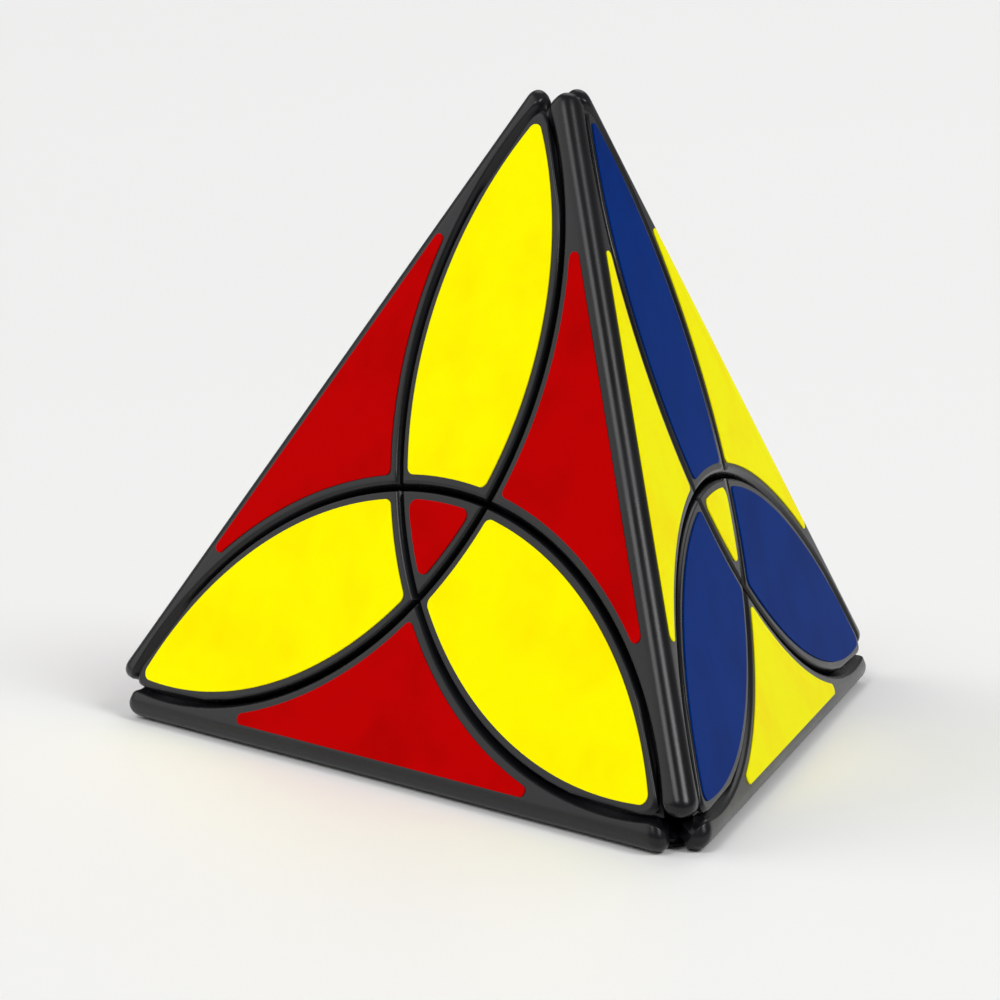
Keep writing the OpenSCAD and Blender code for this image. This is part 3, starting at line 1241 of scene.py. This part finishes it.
@dataclass
class Puzzle:
    """The whole puzzle: shells, feet, caps, stickers and the mechanism inside."""

    petal: Petal = field(default_factory=Petal)
    centre: Centre = field(default_factory=Centre)
    cap: EdgeCap = field(default_factory=EdgeCap)
    sticker: Sticker = field(default_factory=Sticker)

    def __post_init__(self) -> None:
        """Finds the puzzle's centre and makes the materials."""
        low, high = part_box("core")
        self.middle = (np.array(low) + np.array(high)) / 2
        self.plastic = MouldedAbs().build()
        self.nylon = NaturalNylon().build()
        self.steel = ZincPlatedSteel().build()
        self.films = {c: f.build() for c, f in STICKER_FINISHES.items()}

    def stand(
        self,
        name: str,
        rings: np.ndarray,
        place: Place,
        body: str,
        node: str,
        film: Colour | None = None,
    ) -> bpy.types.Object:
        """Puts a drawn piece in its place.

        Args:
            name: The piece's name.
            rings: The drawn piece, in millimetres in the cube frame.
            place: Where it goes.
            body: The body that it rides on.
            node: The CAD node that it stands for.
            film: Colour of a sticker, or None for black plastic.

        Returns:
            The piece.
        """
        points = rings @ place.matrix().T * MM + self.middle
        material = self.plastic if film is None else self.films[film]
        piece = surface_object(name, points, material)
        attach(piece, body)
        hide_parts(node)
        LOG.info("%s: %d faces, on %s", name, len(piece.data.polygons), body)
        return piece

    def build_stickers(self) -> None:
        """Builds the stickers of the petals, of the face centres and of the edges."""
        sticker = self.sticker
        face_inradius = sticker.cuts.edge_length / (2 * math.sqrt(3))
        facet_heart = sticker.facet_heart - face_inradius
        petal = sticker.rings(*sticker.petal_sides(), sticker.petal_heart)
        centre = sticker.rings(*sticker.centre_sides(), 0.0)
        facet = replace(sticker, corner=sticker.facet_corner).rings(
            *sticker.facet_sides(), facet_heart
        )
        for kind, rings, places in (
            ("petal", petal, PETALS),
            ("centre", centre, CENTRES),
            ("edge", facet, FACETS),
        ):
            for place in places:
                node = f"sticker_{kind}_{place.name}"
                body = f"{kind}_{place.name}"
                if kind == "edge":
                    body = "edge_" + place.name.split("_", 1)[1]
                film = f"film_{kind}_{place.name}"
                self.stand(film, rings, place, body, node, place.colour)

    def build_tiles(self) -> None:
        """Builds the shells and feet of the petals and of the face centres."""
        for kind, tile, places in (
            ("petal", self.petal, PETALS),
            ("centre", self.centre, CENTRES),
        ):
            shell, foot = tile.shell_rings(), tile.foot_rings()
            for place in places:
                body = f"{kind}_{place.name}"
                self.stand(f"{kind}_shell_{place.name}", shell, place, body, body)
                self.stand(f"{kind}_foot_{place.name}", foot, place, body, body)

    def build_caps(self) -> None:
        """Builds the six edge caps."""
        rings = self.cap.rings()
        for place in EDGES:
            self.stand(
                f"edge_cap_shell_{place.name}",
                rings,
                place,
                f"edge_{place.name}",
                f"edge_cap_{place.name}",
            )

    def dress(self, node: str, material: bpy.types.Material) -> None:
        """Gives a CAD node its material."""
        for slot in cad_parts[node].material_slots:
            slot.material = material
        LOG.info("%s: %s", node, material.name)

    def dress_nodes(self) -> None:
        """Gives the carried-over CAD nodes their materials."""
        self.dress("core", self.nylon)
        for node in ("screws", "springs", "washers"):
            self.dress(node, self.steel)
        for place in EDGES:
            self.dress(f"edge_base_{place.name}", self.plastic)

    def build(self) -> None:
        """Builds and dresses everything."""
        self.build_tiles()
        self.build_caps()
        self.build_stickers()
        self.dress_nodes()


# ---------------------------------------------------------------- stage


@dataclass(frozen=True)
class Studio:
    """A pale floor, soft lights and the camera.

    The camera's distances and its lens are in millimetres, and its angles are in degrees.
    """

    # rings of the floor, in metres
    floor_radii: tuple[float, ...] = (0.001, 0.3, 1.0, 3.0, 9.0)
    floor_sides: int = 96
    floor_colour: str = "#f4f4f3"
    floor_shade: str = "#f1f1f0"
    floor_cloud_mm: float = 400.0
    floor_roughness: float = 0.55
    floor_ior: float = 1.45
    # each light's name, azimuth, elevation and width in degrees, and strength
    suns: tuple[tuple[str, float, float, float, float], ...] = (
        ("left_light", -45, 32, 60, 1.0),
        ("front_light", 12, 48, 24, 0.9),
        ("side_light", 98, 44, 24, 1.5),
        ("back_light", 215, 50, 40, 0.5),
    )
    sky_colour: str = "#ffffff"
    sky_strength: float = 0.22
    azimuth: float = 45.62
    elevation: float = 10.445
    roll: float = 0.457
    distance: float = 562.6
    aside: float = -7.13
    above: float = 8.60
    lens: float = 159.04
    sensor_width: float = 36.0
    # nearest and farthest that the camera sees, in metres
    clip: tuple[float, float] = (0.01, 50.0)

    def build_floor(self) -> None:
        """A wide round floor, a disc of rings about the puzzle."""
        turns = np.linspace(0, 2 * math.pi, self.floor_sides, endpoint=False)
        radii = np.array(self.floor_radii)
        x = radii[:, None] * np.cos(turns)
        y = radii[:, None] * np.sin(turns)
        points = np.stack([x, y, 0 * x], axis=-1).reshape(-1, 3)
        mesh = bpy.data.meshes.new("floor")
        faces = grid_faces(len(radii), len(turns)).tolist()
        mesh.from_pydata(points, [], faces + [list(range(len(turns)))])
        material, shader, place = fresh_material(
            "matt_paper_floor",
            {"Roughness": self.floor_roughness, "IOR": self.floor_ior},
        )
        tree = material.node_tree
        cloud = add_node(
            tree,
            "ShaderNodeTexNoise",
            inputs={"Vector": place, "Scale": per_metre(self.floor_cloud_mm)},
        ).outputs["Fac"]
        tint = add_node(tree, "ShaderNodeValToRGB", inputs={"Fac": cloud})
        tint.color_ramp.elements[0].color = linear(self.floor_colour)
        tint.color_ramp.elements[1].color = linear(self.floor_shade)
        tree.links.new(tint.outputs["Color"], shader.inputs["Base Color"])
        mesh.materials.append(material)
        floor = bpy.data.objects.new("floor", mesh)
        bpy.context.scene.collection.objects.link(floor)

    def build_sky(self) -> None:
        """An even white surround, kept dim so that the black plastic stays dark."""
        world = bpy.data.worlds.new("studio")
        world.use_nodes = True
        background = world.node_tree.nodes["Background"]
        background.inputs["Color"].default_value = linear(self.sky_colour)
        background.inputs["Strength"].default_value = self.sky_strength
        bpy.context.scene.world = world

    def add_sun(
        self, name: str, azimuth: float, elevation: float, softness: float, power: float
    ) -> None:
        """Adds an even light from one side, as from a very large panel far away.

        Args:
            name: The light's name.
            azimuth: Where it comes from, in degrees, 0 being in front of the front face.
            elevation: How high it stands, in degrees.
            softness: Width of the panel as an angle, in degrees.
            power: Strength in watts per square metre.
        """
        light = bpy.data.lights.new(name, "SUN")
        light.energy = power
        light.angle = math.radians(softness)
        lamp = bpy.data.objects.new(name, light)
        bpy.context.scene.collection.objects.link(lamp)
        back, right, up = self.axes(azimuth, elevation, 0.0)
        lamp.matrix_world = self.pose(right, up, back, back)

    def build_lights(self) -> None:
        """Wide, even lights from both sides and the front, and a weaker one behind."""
        for sun in self.suns:
            self.add_sun(*sun)

    @staticmethod
    def axes(
        azimuth: float, elevation: float, roll: float
    ) -> tuple[np.ndarray, np.ndarray, np.ndarray]:
        """Directions of a thing that looks at the puzzle.

        Args:
            azimuth: Degrees about +Z, 0 looking along +Y.
            elevation: Degrees above the horizon.
            roll: Degrees about the line of sight.

        Returns:
            The unit vectors back, right and up.
        """
        a, e, r = np.radians([azimuth, elevation, roll])
        back = np.array([np.sin(a) * np.cos(e), -np.cos(a) * np.cos(e), np.sin(e)])
        right = np.array([np.cos(a), np.sin(a), 0.0])
        up = np.cross(back, right)
        return (
            back,
            right * np.cos(r) + up * np.sin(r),
            up * np.cos(r) - right * np.sin(r),
        )

    @staticmethod
    def pose(
        right: np.ndarray, up: np.ndarray, back: np.ndarray, place: np.ndarray
    ) -> Matrix:
        """The matrix of an object with these directions and this place."""
        made = np.eye(4)
        made[:3, 0], made[:3, 1], made[:3, 2], made[:3, 3] = right, up, back, place
        return Matrix(made.tolist())

    def build_camera(self, middle: np.ndarray) -> None:
        """Puts the camera at its angle and distance from the puzzle's centre."""
        back, right, up = self.axes(self.azimuth, self.elevation, self.roll)
        offset = self.aside * right + self.above * up + self.distance * back
        camera = bpy.data.cameras.new("camera")
        camera.lens = self.lens
        camera.sensor_width = self.sensor_width
        camera.clip_start, camera.clip_end = self.clip
        eye = bpy.data.objects.new("camera", camera)
        bpy.context.scene.collection.objects.link(eye)
        eye.matrix_world = self.pose(right, up, back, middle + offset * MM)
        bpy.context.scene.camera = eye

    def build(self, middle: np.ndarray) -> None:
        """Builds the stage about the puzzle's centre."""
        self.build_floor()
        self.build_sky()
        self.build_lights()
        self.build_camera(middle)
        bpy.context.scene.view_settings.view_transform = "Standard"


def main() -> None:
    """Builds the puzzle and its stage."""
    logging.basicConfig(level=logging.INFO, format="%(message)s")
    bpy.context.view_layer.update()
    puzzle = Puzzle()
    puzzle.build()
    Studio().build(puzzle.middle)


if __name__ == "__main__":
    main()
